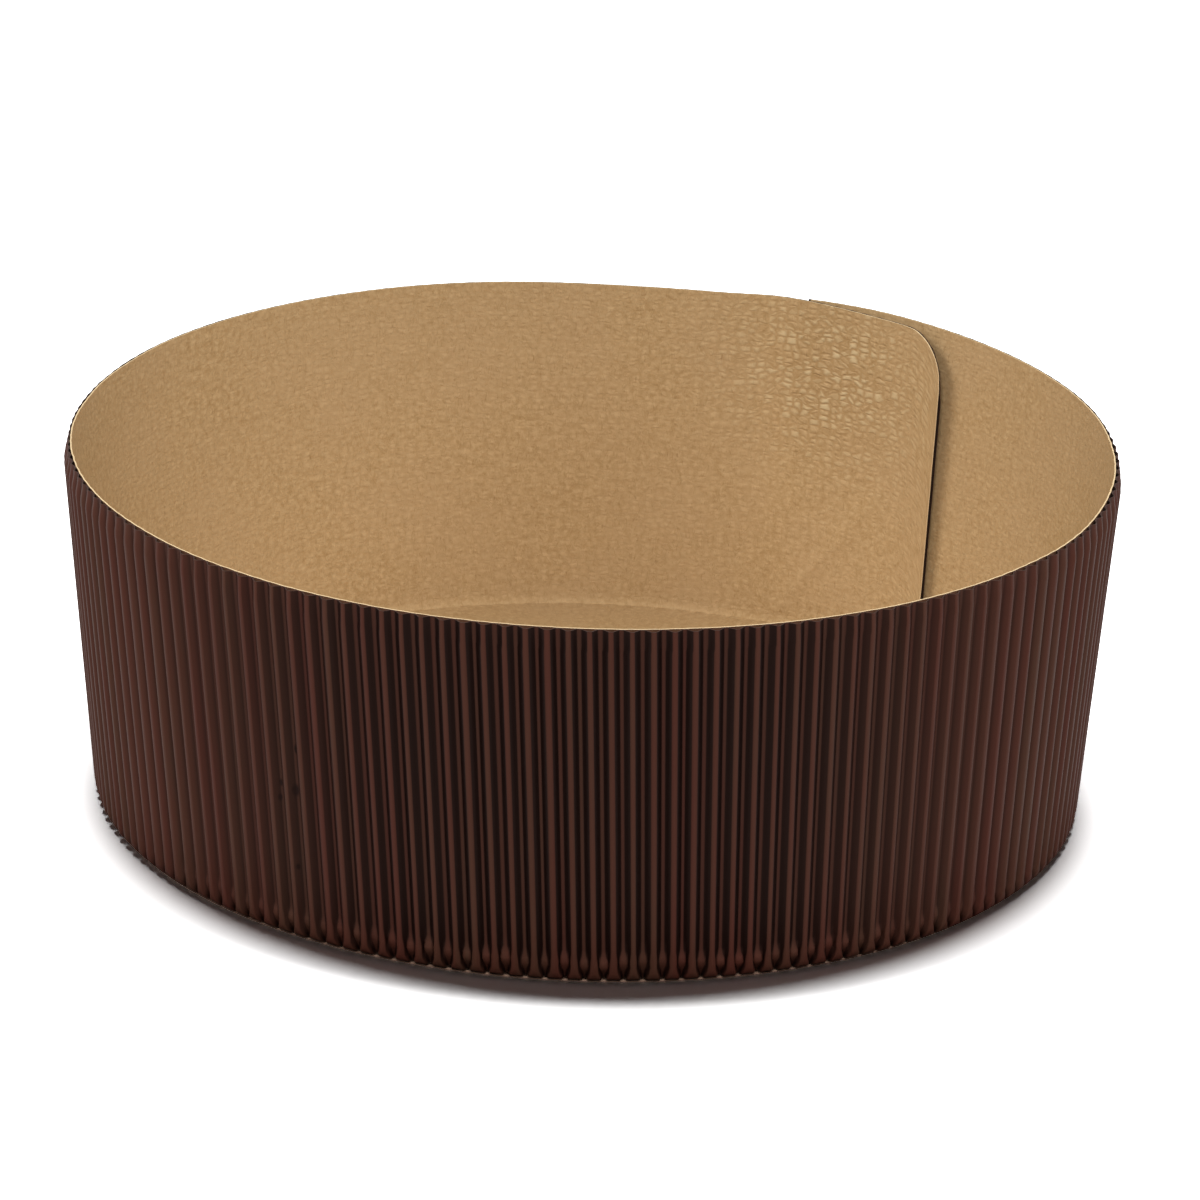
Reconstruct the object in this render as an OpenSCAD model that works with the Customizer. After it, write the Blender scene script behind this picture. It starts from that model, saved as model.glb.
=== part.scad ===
// Low panettone paper mold: a tapered wall of single-face corrugated paper, flutes
// outside, its two ends lapped and glued, its foot turned in and glued to a round base.

/* [Size] */
// Diameter of the rim, over the flutes
rim_d = 172; // [140:1:190]
// Diameter of the foot, over the flutes
foot_d = 162.6; // [130:0.2:180]
// Height of the rim above the surface that the mold stands on
wall_h = 60; // [30:1:100]

/* [Corrugated wall] */
// Distance from one flute to the next round the rim
flute_pitch = 3.22; // [3:0.01:4.5]
// Height of a flute above the liner
flute_h = 1.2; // [0.6:0.05:1.45]
// Width of a flute's crest, at the rim
crest_w = 1.15; // [0.8:0.05:1.3]
// Width of the valley where the fluted paper is glued to the liner, at the rim
valley_w = 0.85; // [0.5:0.05:1.1]
// Thickness of the brown fluted paper
fluted_t = 0.18; // [0.1:0.01:0.25]
// Thickness of the kraft liner
liner_t = 0.22; // [0.1:0.01:0.4]
// Thickness of a glue line between two papers
glue_t = 0.04; // [0.03:0.01:0.1]
// Turn of the flutes from rim to foot, in degrees
flute_lean = 1.33; // [-3:0.01:3]

/* [Lapped seam] */
// Direction of the wall's outer end, in degrees from +X towards +Y
seam_angle = 64.2; // [0:0.1:359.9]
// Length of the flap that laps inside the outer end
lap_w = 29; // [15:1:60]
// Gap between the flap and the outer end
lap_gap = 0.1; // [0.05:0.05:0.5]
// Length over which the wall steps inwards before the seam
step_w = 10; // [5:1:30]
// Radius of the flap's rounded top corner
flap_corner_r = 9; // [4:1:14]
// Rise of the rim past the wall's outer end
seam_rise = 1.1; // [0:0.1:2]
// Rise of the flap's rim
flap_rise = 0.4; // [0:0.1:1]
// Length of rim over which each rise is reached
rise_run = 18; // [10:1:30]
// Distance from the outer end at which its rise has faded away
rise_end = 128; // [80:1:200]
// Length of rim over which it fades
rise_fade = 60; // [30:1:80]

/* [Foot] */
// Height of the heel, where the wall turns in
heel_h = 3; // [1:0.5:6]
// Depth by which the heel turns in before it lies flat
heel_in = 0.8; // [0.2:0.1:2]
// Width of the flat turned-in flange
flange_w = 14; // [4:0.5:20]
// Height that is left of the crushed flutes under the flange
crushed_h = 0.45; // [0.4:0.05:0.8]

/* [Base] */
// Distance of the base disc's edge inside the foot's outer line
base_inset = 1; // [0.2:0.1:4]
// Thickness of the base disc
base_t = 0.3; // [0.2:0.05:1]

/* [Hidden] */

board_t = liner_t + glue_t + flute_h;
flange_t = liner_t + glue_t + crushed_h;
// Radii of the liner's outer face on the wall's straight line, at rim and foot level
liner_rim_r = rim_d / 2 - flute_h - glue_t;
liner_foot_r = foot_d / 2 - flute_h - glue_t;
// Height of the liner's underside on the flange
flange_z = base_t + 2 * glue_t + crushed_h;
base_d = foot_d - 2 * base_inset;

// Flutes in one whole turn, and in the wall with its flap
turn_flutes = round(PI * rim_d / flute_pitch);
flute_angle = 360 / turn_flutes;
wall_flutes = turn_flutes + round(lap_w / flute_pitch);
// Degrees of turn for each millimetre along the rim
deg_per_mm = 360 / (PI * rim_d);
// Turn from the wall's outer end to the flap's end, which is the end of a valley
end_angle = wall_flutes * flute_angle + valley_w * deg_per_mm;

// Half the change in width that a fold of the fluted paper gives its two faces
flank_run = (flute_pitch - crest_w - valley_w) / 2;
fold_share = fluted_t / 2 * tan(atan(flute_h / flank_run) / 2);

// Smooth climb from 0 to 1 as x goes from 0 to 1
function ease(x) = let (t = min(1, max(0, x))) t * t * (3 - 2 * t);

// How far the wall has stepped inwards, 0 to 1, at a degrees clockwise from the outer end
function stepped(a) = ease((a - 360) / (step_w * deg_per_mm) + 1);

// Height of the rim: raised past the outer end and at the flap, and cut away round its corner
function corner_cut(s) = s <= 0 ? 0 : flap_corner_r - sqrt(max(0, pow(flap_corner_r, 2) - s * s));
function rim_z(a) = let (s = a / deg_per_mm, turn = 360 / deg_per_mm)
    wall_h
    + seam_rise * ease((s / rise_run + 1) / 2) * ease((rise_end - s) / rise_fade)
    + flap_rise * ease((s - turn) / rise_run + 1)
    - corner_cut(s - end_angle / deg_per_mm + flap_corner_r);

// Radius and height of the liner's outer face at each fold of the wall's section:
// rim, top of the heel, toe and edge of the flange
function line_r(z) = liner_foot_r + (liner_rim_r - liner_foot_r) * z / wall_h;
function section(a) = let (
        inward = stepped(a) * (board_t + lap_gap),
        up = stepped(a) * (flange_t + lap_gap),
        heel_r = min(line_r(heel_h), line_r(heel_h + up)) - inward,
        toe_r = liner_foot_r - heel_in - inward)
    [[line_r(rim_z(a)) - inward, rim_z(a)],
     [heel_r, heel_h + up],
     [toe_r, flange_z + up],
     [toe_r - flange_w, flange_z + up]];

// One face of a paper, out from the liner's outer face on the wall and down on the flange
function face(a, out, down) = let (s = section(a))
    [s[0] + [out, 0], s[1] + [out, 0], s[2] + [out / 2, -down], s[3] + [0, -down]];

// The flutes' lean, which fades out before the flap so that its end is upright
function lean(a) = flute_lean * (1 - ease((a - 360) / (end_angle - 360) + 1));

// A point of the section at a degrees clockwise from the outer end
function place(p, a) = let (t = seam_angle - a + lean(a) * (1 - p[1] / wall_h))
    [p[0] * cos(t), p[0] * sin(t), p[1]];

// A closed ring of points: down the outer face and back up the inner face
function ring(outer, a_outer, inner, a_inner) = concat(
    [for (p = outer) place(p, a_outer)],
    [for (k = [len(inner) - 1 : -1 : 0]) place(inner[k], a_inner)]);

// A strip of paper through rings of points, with both ends closed
module paper_strip(rings) {
    n = len(rings[0]);
    last = (len(rings) - 1) * n;
    sides = [for (i = [0 : len(rings) - 2], j = [0 : n - 1])
        let (p = i * n + j, q = i * n + (j + 1) % n)
        each [[p, p + n, q + n], [p, q + n, q]]];
    ends = [for (j = [0 : n / 2 - 2])
        let (p = j, q = j + 1, r = n - 2 - j, s = n - 1 - j)
        each [[p, q, r], [p, r, s], [last + p, last + r, last + q], [last + p, last + s, last + r]]];
    polyhedron([for (r = rings) each r], concat(sides, ends), convexity = 12);
}

// The four folds of each flute: the two ends of its valley, then the two of its crest
function fold_at(corner) = [0, valley_w, valley_w + flank_run, flute_pitch - flank_run][corner];
function fold_side(corner) = [1, -1, -1, 1][corner];
function fold_angle(flute, corner) = flute * flute_angle + fold_at(corner) * deg_per_mm;

// The fluted paper's section at one fold, its two faces spread by the fold
function flute_ring(flute, corner) = let (
        a = fold_angle(flute, corner),
        spread = fold_side(corner) * fold_share * deg_per_mm,
        crest = corner > 1,
        out = glue_t + (crest ? flute_h - fluted_t : 0),
        down = glue_t + (crest ? crushed_h - fluted_t : 0))
    ring(face(a, out + fluted_t, down + fluted_t), a + spread, face(a, out, down), a - spread);

module fluted_wall() {
    color("#44251d")
        paper_strip([for (i = [0 : 4 * wall_flutes + 1]) flute_ring(floor(i / 4), i % 4)]);
}

// The liner's section at one fold: it is straight from one glued valley to the next
function liner_ring(flute, corner) = let (a = fold_angle(flute, corner))
    ring(face(a, 0, 0), a, face(a, -liner_t, -liner_t), a);

module wall_liner() {
    color("#b08d61")
        paper_strip([for (i = [0 : 2 * wall_flutes + 1]) liner_ring(floor(i / 2), i % 2)]);
}

module base_disc() {
    color("#b99a70")
        cylinder(d = base_d, h = base_t, $fn = 180);
}

fluted_wall();
wall_liner();
base_disc();
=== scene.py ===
"""Looks of a low panettone paper mold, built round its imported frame.

The wall is one strip of single-face corrugated paper, rolled up with its ends lapped. Its brown
fluted paper and its kraft liner are meshed as flat sheets, given their flutes, folds and creases,
and rolled round the mold. A kraft disc closes the foot. Sizes are in millimetres until a point
is placed, and the finished meshes are in metres.
"""
import logging
import math
import random
from collections.abc import Callable, Sequence
from dataclasses import dataclass, field
from enum import Enum

import bmesh
import bpy
from mathutils import Matrix, Vector, noise


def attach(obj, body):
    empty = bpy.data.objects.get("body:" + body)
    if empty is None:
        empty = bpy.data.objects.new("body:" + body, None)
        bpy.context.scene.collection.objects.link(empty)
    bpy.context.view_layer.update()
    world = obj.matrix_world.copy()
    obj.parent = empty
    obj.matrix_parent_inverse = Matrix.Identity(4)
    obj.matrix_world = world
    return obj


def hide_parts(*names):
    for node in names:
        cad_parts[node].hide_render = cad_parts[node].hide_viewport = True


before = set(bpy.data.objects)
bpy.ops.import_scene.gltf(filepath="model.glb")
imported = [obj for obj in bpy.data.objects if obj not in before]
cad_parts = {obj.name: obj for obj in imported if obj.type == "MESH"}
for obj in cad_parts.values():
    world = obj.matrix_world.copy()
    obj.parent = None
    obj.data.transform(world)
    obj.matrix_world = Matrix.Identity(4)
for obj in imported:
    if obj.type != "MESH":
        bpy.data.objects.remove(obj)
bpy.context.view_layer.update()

MM = 0.001
PAPER_IOR = 1.45
CREASE_ANGLE = math.radians(55)
NOISE_FALL = 0.8
NOISE_STEP = 2.0
STRIP_MAP = "strip"
# Attribute that carries the brown paper's painted shade in its folds, and the liner's gloss, embossing and
# painted light beside the seam
PAINTED_LIGHT_AND_GLOSS = "painted_light_and_gloss"
log = logging.getLogger("panettone_mold")


def ease(x: float) -> float:
    """Climbs smoothly from 0 to 1 as x goes from 0 to 1."""
    t = min(1.0, max(0.0, x))
    return t * t * (3 - 2 * t)


def mix(low: float, high: float, share: float) -> float:
    """Gives the value that lies a share of the way from low to high."""
    return low + (high - low) * share


def swell(x: float, centre: float, width: float) -> float:
    """Gives a smooth bell of height 1 at its centre, with its shoulders a width away."""
    return math.exp(-((x - centre) / width) ** 2 / 2)


def turn_between(a: float, b: float) -> float:
    """Gives the signed difference of two directions in degrees, from -180 to 180."""
    return (a - b + 180) % 360 - 180


@dataclass(frozen=True)
class Ripple:
    """Smooth noise over the strip: its pace along and up the strip, and its own layer."""

    per_degree: float
    per_mm: float
    layer: float

    def at(self, a: float, z: float) -> Vector:
        """Gives the noise's coordinates at a degrees of turn and a height of z."""
        return Vector((a * self.per_degree, z * self.per_mm, self.layer))


class Zone(Enum):
    """Stretch of the wall's upright section in which a row of points lies."""

    BELOW_RIM = "millimetres below the rim"
    MIDDLE = "share of the way from the rim rows to the heel rows"
    ABOVE_HEEL = "millimetres above the top of the heel"
    HEEL = "share of the heel's quarter turn"
    FLANGE = "share of the flange's width"


@dataclass(frozen=True)
class Row:
    """One row of points across the strip."""

    zone: Zone
    at: float


@dataclass(frozen=True)
class Place:
    """A point of the liner's outer face in an upright section, with its outward normal."""

    r: float
    z: float
    normal_r: float
    normal_z: float
    down: float


@dataclass(frozen=True)
class Section:
    """The liner's outer face in one upright section: a straight wall, a round heel and a flange.

    The heel's first share, heel_turn, eases the normal over from the wall's.
    """

    rim_r: float
    rim_z: float
    heel_r: float
    heel_z: float
    toe_r: float
    toe_z: float
    flange_w: float
    rim_rows: float
    heel_rows: float
    heel_turn: float = 0.3

    def place(self, row: Row) -> Place:
        """Finds where a row crosses this section.

        Args:
            row: The row of points.

        Returns:
            The point on the liner's outer face.
        """
        slope = math.hypot(self.rim_r - self.heel_r, self.rim_z - self.heel_z)
        wall = ((self.rim_z - self.heel_z) / slope, (self.heel_r - self.rim_r) / slope)
        if row.zone is Zone.HEEL:
            angle = row.at * math.pi / 2
            r = self.toe_r + (self.heel_r - self.toe_r) * math.cos(angle)
            z = self.heel_z - (self.heel_z - self.toe_z) * math.sin(angle)
            along = Vector((-(self.heel_r - self.toe_r) * math.sin(angle),
                            -(self.heel_z - self.toe_z) * math.cos(angle))).normalized()
            turned = ease(row.at / self.heel_turn)
            normal = Vector((mix(wall[0], -along.y, turned), mix(wall[1], along.x, turned))).normalized()
            return Place(r, z, normal.x, normal.y, slope + self.heel_z - z)
        if row.zone is Zone.FLANGE:
            r = self.toe_r - self.flange_w * row.at
            down = slope + self.heel_z - self.toe_z + self.flange_w * row.at
            return Place(r, self.toe_z, 0.0, -1.0, down)
        if row.zone is Zone.BELOW_RIM:
            z = self.rim_z - row.at
        elif row.zone is Zone.ABOVE_HEEL:
            z = self.heel_z + row.at
        else:
            z = mix(self.rim_z - self.rim_rows, self.heel_z + self.heel_rows, row.at)
        share = (z - self.heel_z) / (self.rim_z - self.heel_z)
        return Place(mix(self.heel_r, self.rim_r, share), z, wall[0], wall[1], self.rim_z - z)


@dataclass(frozen=True)
class RimDip:
    """A place where the rim sags: its direction in degrees, its half width and its depth."""

    direction: float
    width: float
    depth: float


@dataclass(frozen=True)
class WallSizes:
    """Sizes of the wall, as its construction has them, with the sag and wear of this one."""

    rim_d: float = 172.0
    foot_d: float = 162.6
    wall_h: float = 60.0
    flute_pitch: float = 3.22
    flute_h: float = 1.2
    fluted_t: float = 0.18
    liner_t: float = 0.22
    glue_t: float = 0.04
    flute_lean: float = 1.33
    seam_angle: float = 64.2
    lap_w: float = 29.0
    lap_gap: float = 0.1
    step_w: float = 10.0
    flap_corner_r: float = 9.0
    seam_rise: float = 1.1
    flap_rise: float = 0.4
    rise_run: float = 18.0
    rise_end: float = 128.0
    rise_fade: float = 60.0
    heel_h: float = 3.0
    heel_in: float = 0.8
    flange_w: float = 14.0
    crushed_h: float = 0.45
    base_t: float = 0.3
    first_valley: float = 0.62
    rim_shift: float = -0.95
    foot_shift: float = -0.25
    soft_heel_at: float = -150.0
    soft_heel_width: float = 38.0
    soft_heel_h: float = 0.6
    soft_heel_in: float = 0.15
    flap_extra: float = 0.78
    flap_curl: float = 0.9
    flap_curl_w: float = 12.0
    curl_at_foot: float = 0.2
    tuck_rise: float = 0.35
    tuck_width: float = 5.0
    dips: tuple[RimDip, ...] = (
        RimDip(85.0, 12.5, 0.72),
        RimDip(172.0, 12.0, 0.35),
        RimDip(-27.0, 8.0, 0.3),
    )

    @property
    def flutes(self) -> int:
        """Flutes in one whole turn."""
        return round(math.pi * self.rim_d / self.flute_pitch)

    @property
    def wall_flutes(self) -> int:
        """Flutes in the wall with its flap."""
        return self.flutes + round(self.lap_w / self.flute_pitch)

    @property
    def flute_angle(self) -> float:
        """Degrees of turn from one flute to the next."""
        return 360 / self.flutes

    @property
    def degrees_per_mm(self) -> float:
        """Degrees of turn for each millimetre along the rim."""
        return 360 / (math.pi * self.rim_d)

    @property
    def end_angle(self) -> float:
        """Turn from the wall's outer end to the flap's end, which cuts through a flute."""
        last_valley = self.first_valley + self.wall_flutes * self.flute_angle
        return last_valley + self.flap_extra * self.degrees_per_mm

    @property
    def toe_z(self) -> float:
        """Height of the liner's underside on the flange."""
        return self.base_t + 2 * self.glue_t + self.crushed_h

    def direction(self, a: float) -> float:
        """Gives the direction from the axis at a degrees clockwise from the outer end."""
        return self.seam_angle - a

    def stepped(self, a: float) -> float:
        """Tells how far, 0 to 1, the wall has stepped inwards to pass behind its outer end."""
        return ease((a - 360) / (self.step_w * self.degrees_per_mm) + 1)

    def curled(self, a: float) -> float:
        """Gives how far in millimetres the flap's free end has sprung inwards."""
        to_end = (self.end_angle - a) / self.degrees_per_mm
        return self.flap_curl * ease(1 - to_end / self.flap_curl_w)

    def lean(self, a: float) -> float:
        """Gives the turn of the flutes' feet in degrees, which fades out before the flap."""
        return self.flute_lean * (1 - ease((a - 360) / (self.end_angle - 360) + 1))

    def line_r(self, z: float) -> float:
        """Gives the radius of the liner's outer face on the wall's straight line.

        Args:
            z: Height in millimetres.

        Returns:
            The radius in millimetres.
        """
        rim_r = self.rim_d / 2 - self.flute_h - self.glue_t
        foot_r = self.foot_d / 2 - self.flute_h - self.glue_t
        return mix(foot_r, rim_r, z / self.wall_h)

    def rim_z(self, a: float) -> float:
        """Gives the rim's height: raised at the seam, cut round at the flap, and sagging between.

        Args:
            a: Degrees clockwise from the outer end.

        Returns:
            The height in millimetres.
        """
        s = a / self.degrees_per_mm
        turn = 360 / self.degrees_per_mm
        faded = ease((self.rise_end - s) / self.rise_fade)
        raised = self.seam_rise * ease((s / self.rise_run + 1) / 2) * faded
        flap = self.flap_rise * ease((s - turn) / self.rise_run + 1)
        into = s - self.end_angle / self.degrees_per_mm + self.flap_corner_r
        left = math.sqrt(max(0.0, self.flap_corner_r ** 2 - into ** 2))
        corner = self.flap_corner_r - left if into > 0 else 0.0
        outer = 1 - ease((self.rise_run - s) / self.rise_run)
        sag = sum(dip.depth * swell(turn_between(self.direction(a), dip.direction), 0, dip.width)
                  for dip in self.dips)
        tucked = self.tuck_rise * swell(a, 360, self.tuck_width)
        return self.wall_h + raised + flap + tucked - corner - sag * outer * (1 - self.stepped(a))

    def section(self, a: float, rim_rows: float, heel_rows: float) -> Section:
        """Works out the wall's upright section.

        Args:
            a: Degrees clockwise from the outer end.
            rim_rows: Height below the rim that the rim's own rows take.
            heel_rows: Height above the heel that the heel's own rows take.

        Returns:
            The section of the liner's outer face.
        """
        inward = self.stepped(a) * (self.liner_t + self.glue_t + self.flute_h + self.lap_gap)
        curl = self.curled(a)
        foot_in = inward + curl * self.curl_at_foot
        up = self.stepped(a) * (self.liner_t + self.glue_t + self.crushed_h + self.lap_gap)
        soft = swell(turn_between(self.direction(a), self.soft_heel_at), 0, self.soft_heel_width)
        heel_z = self.heel_h + self.soft_heel_h * soft
        toe_r = self.line_r(0) - self.heel_in - self.soft_heel_in * soft
        rim_z = self.rim_z(a)
        rim_r = self.line_r(rim_z) - inward - curl
        heel_r = self.line_r(heel_z) - foot_in
        return Section(rim_r, rim_z, heel_r, heel_z + up, toe_r - foot_in, self.toe_z + up,
                       self.flange_w, rim_rows, heel_rows)

    def rolled(self, r: float, z: float, a: float) -> Vector:
        """Rolls a point of a section round the mold.

        Args:
            r: Radius in millimetres.
            z: Height in millimetres.
            a: Degrees clockwise from the outer end.

        Returns:
            The point in metres.
        """
        turn = math.radians(self.direction(a) + self.lean(a) * (1 - z / self.wall_h))
        shift = mix(self.foot_shift, self.rim_shift, z / self.wall_h)
        return Vector((r * math.cos(turn) + shift, r * math.sin(turn), z)) * MM


def linear(hex_colour: str) -> tuple[float, float, float, float]:
    """Turns an sRGB hex colour into a linear one.

    Args:
        hex_colour: Six hex digits after a hash.

    Returns:
        Red, green, blue and alpha, from 0 to 1.
    """
    parts = [int(hex_colour[i:i + 2], 16) / 255 for i in (1, 3, 5)]
    red, green, blue = (p / 12.92 if p <= 0.04045 else ((p + 0.055) / 1.055) ** 2.4 for p in parts)
    return red, green, blue, 1.0


def socket(sockets: Sequence[bpy.types.NodeSocket], name: str) -> bpy.types.NodeSocket:
    """Finds a socket by its identifier, or else by its name.

    Args:
        sockets: A node's inputs or outputs.
        name: The identifier or the name.

    Returns:
        The socket.
    """
    return next((s for s in sockets if s.identifier == name), None) or sockets[name]


def add(tree: bpy.types.NodeTree, kind: str, settings: dict[str, object] | None = None,
        links: dict[str, bpy.types.NodeSocket] | None = None) -> bpy.types.Node:
    """Adds a node with its settings and links.

    Args:
        tree: The node tree.
        kind: The node's type without its ShaderNode prefix.
        settings: Values by the name of a property or of an input.
        links: Outputs of other nodes by the name of this node's input.

    Returns:
        The new node.
    """
    node = tree.nodes.new("ShaderNode" + kind)
    for name, value in (settings or {}).items():
        if name in node.bl_rna.properties:
            setattr(node, name, value)
        else:
            socket(node.inputs, name).default_value = value
    for name, output in (links or {}).items():
        tree.links.new(output, socket(node.inputs, name))
    return node


def fresh_material(name: str) -> tuple[bpy.types.Material, bpy.types.NodeTree, bpy.types.Node]:
    """Starts a material.

    Args:
        name: The material's name.

    Returns:
        The material, its node tree and its output node.
    """
    material = bpy.data.materials.new(name)
    material.use_nodes = True
    tree = material.node_tree
    tree.nodes.clear()
    return material, tree, tree.nodes.new("ShaderNodeOutputMaterial")


@dataclass(frozen=True)
class CoatedBrownPaper:
    """Paper flood-printed brown and varnished: a deep red-brown with a soft gloss.

    The varnish gives the crests a broad pale sheen, and the print gives faint tints from flute
    to flute and fine streaks along them. Painted shade darkens the folds and a few small dents.
    """

    name: str = "varnished_brown_paper"
    body: str = "#44241b"
    red_tint: str = "#43221b"
    grey_tint: str = "#3f291f"
    # Colour of the painted shade in the folds and in the small dents
    painted_shade: str = "#0b0302"
    sheen: tuple[float, float, float, float] = (1.0, 0.6, 0.5, 1.0)
    roughness: tuple[float, float] = (0.42, 0.54)
    tint_mm: float = 5.0
    streak_mm: float = 0.5
    grain_mm: float = 0.35
    along_flutes: float = 0.06
    ior: float = 1.32
    dent_stretch: float = 0.55
    dent_fade: tuple[float, float] = (1.4, 0.7)
    # Places of the small dents' painted shade: along and up the strip, and half width, in millimetres
    dents: tuple[tuple[float, float, float], ...] = (
        (289.5, -19.5, 0.3), (280.5, -27.0, 0.4), (284.1, -33.5, 0.3),
        (281.1, -34.0, 0.5), (284.4, -36.0, 0.3), (281.6, -47.0, 0.25))

    def material(self) -> bpy.types.Material:
        """Builds the node material.

        Returns:
            The material.
        """
        material, tree, output = fresh_material(self.name)
        flat = add(tree, "UVMap", {"uv_map": STRIP_MAP}).outputs["UV"]
        tall = add(tree, "Mapping", {"Scale": (1, self.along_flutes, 1)},
                   {"Vector": flat}).outputs["Vector"]
        tint = add(tree, "TexNoise", {"Scale": 1 / (self.tint_mm * MM), "Detail": 3.0, "Roughness": 0.6},
                   {"Vector": tall})
        streak = add(tree, "TexNoise", {"Scale": 1 / (self.streak_mm * MM), "Detail": 2.0},
                     {"Vector": tall})
        grain = add(tree, "TexNoise", {"Scale": 1 / (self.grain_mm * MM), "Detail": 3.0}, {"Vector": flat})
        share = add(tree, "MapRange", {"From Min": 0.35, "From Max": 0.65}, {"Value": tint.outputs["Fac"]})
        tinted = add(tree, "Mix", {"data_type": "RGBA", "A_Color": linear(self.grey_tint),
                                   "B_Color": linear(self.red_tint)},
                     {"Factor_Float": share.outputs["Result"]})
        faint = add(tree, "MapRange", {"From Min": 0.3, "From Max": 0.75, "To Max": 0.55},
                    {"Value": streak.outputs["Fac"]})
        streaked = add(tree, "Mix", {"data_type": "RGBA", "B_Color": linear(self.body)},
                       {"Factor_Float": faint.outputs["Result"],
                        "A_Color": socket(tinted.outputs, "Result_Color")})
        # Painted shade: the folds darken towards the nearly black shade colour where the attribute falls
        painted_light_and_gloss = add(tree, "Attribute", {"attribute_name": PAINTED_LIGHT_AND_GLOSS})
        shaded = add(tree, "Mix", {"data_type": "RGBA", "A_Color": linear(self.painted_shade)},
                     {"Factor_Float": painted_light_and_gloss.outputs["Fac"],
                      "B_Color": socket(streaked.outputs, "Result_Color")})
        # Painted shade of the small dents
        painted_dent_shade = add(tree, "Mix", {"data_type": "RGBA", "B_Color": linear(self.painted_shade)},
                     {"Factor_Float": self.painted_dent_shade(tree, flat),
                      "A_Color": socket(shaded.outputs, "Result_Color")})
        gloss = add(tree, "MapRange", {"To Min": self.roughness[0], "To Max": self.roughness[1]},
                    {"Value": grain.outputs["Fac"]})
        bump = add(tree, "Bump", {"Strength": 0.25, "Distance": 0.02 * MM},
                   {"Height": grain.outputs["Fac"]})
        paper = add(tree, "BsdfPrincipled", {"IOR": self.ior, "Specular Tint": self.sheen},
                    {"Base Color": socket(painted_dent_shade.outputs, "Result_Color"),
                     "Roughness": gloss.outputs["Result"], "Normal": bump.outputs["Normal"]})
        tree.links.new(paper.outputs["BSDF"], output.inputs["Surface"])
        return material

    def painted_dent_shade(self, tree: bpy.types.NodeTree, flat: bpy.types.NodeSocket) -> bpy.types.NodeSocket:
        """Adds the painted shade of a few small dents, each by its place on the strip and its half width;
        the dents are darkened, not shaped.

        Args:
            tree: The material's node tree.
            flat: The strip's own coordinates in metres.

        Returns:
            A value of 1 in a dent and 0 away from it.
        """
        share = add(tree, "Value").outputs["Value"]
        share.default_value = 0.0
        for along, up, half_w in self.dents:
            middle = (along * MM, up * MM, 0)
            off = add(tree, "VectorMath", {"operation": "SUBTRACT", "Vector_001": middle}, {"Vector": flat})
            squat = add(tree, "VectorMath",
                        {"operation": "MULTIPLY", "Vector_001": (1, self.dent_stretch, 1)},
                        {"Vector": off.outputs["Vector"]})
            away = add(tree, "VectorMath", {"operation": "LENGTH"}, {"Vector": squat.outputs["Vector"]})
            outer, inner = (half_w * share_of_w * MM for share_of_w in self.dent_fade)
            dent = add(tree, "MapRange", {"From Min": outer, "From Max": inner},
                       {"Value": away.outputs["Value"]})
            share = add(tree, "Math", {"operation": "MAXIMUM"},
                        {"Value": dent.outputs["Result"], "Value_001": share}).outputs["Value"]
        return share


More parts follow.
